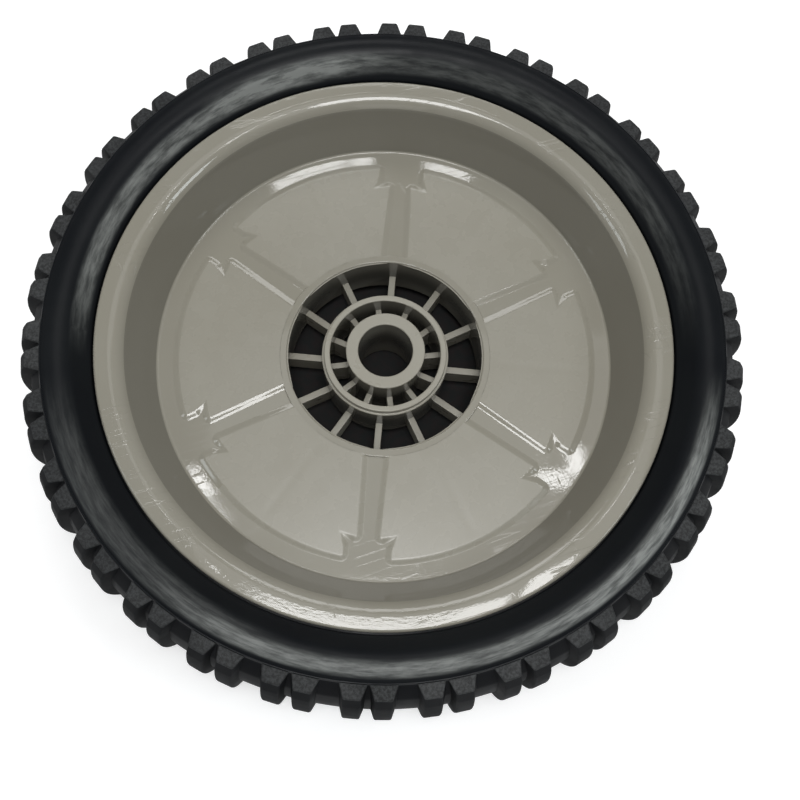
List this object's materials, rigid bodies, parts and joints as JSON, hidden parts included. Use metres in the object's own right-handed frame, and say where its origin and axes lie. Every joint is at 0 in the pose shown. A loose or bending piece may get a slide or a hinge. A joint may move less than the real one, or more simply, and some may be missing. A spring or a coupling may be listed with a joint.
{
  "type": "lawn mower wheel",
  "caption": "Dished plastic mower wheel with a ribbed hub, plain axle bore, arrow-recessed web and a black block-tread rubber tyre.",
  "frame": {"origin": "on the axle's axis, in the tyre's middle plane, inside the bore", "axes": "+Z along the axle, out of the dished face; the wheel lies on its back, with that face up"},
  "size_m": [0.2046, 0.2046, 0.0444],
  "materials": {
    "wheel_plastic": "smooth glossy moulded polypropylene, warm taupe grey",
    "tyre_rubber": "black moulded rubber, satin sidewall and grained tread bar ends"
  },
  "bodies": {
    "root": {"wheel_centre": "wheel_plastic", "tyre": "tyre_rubber"}
  },
  "joints": []
}
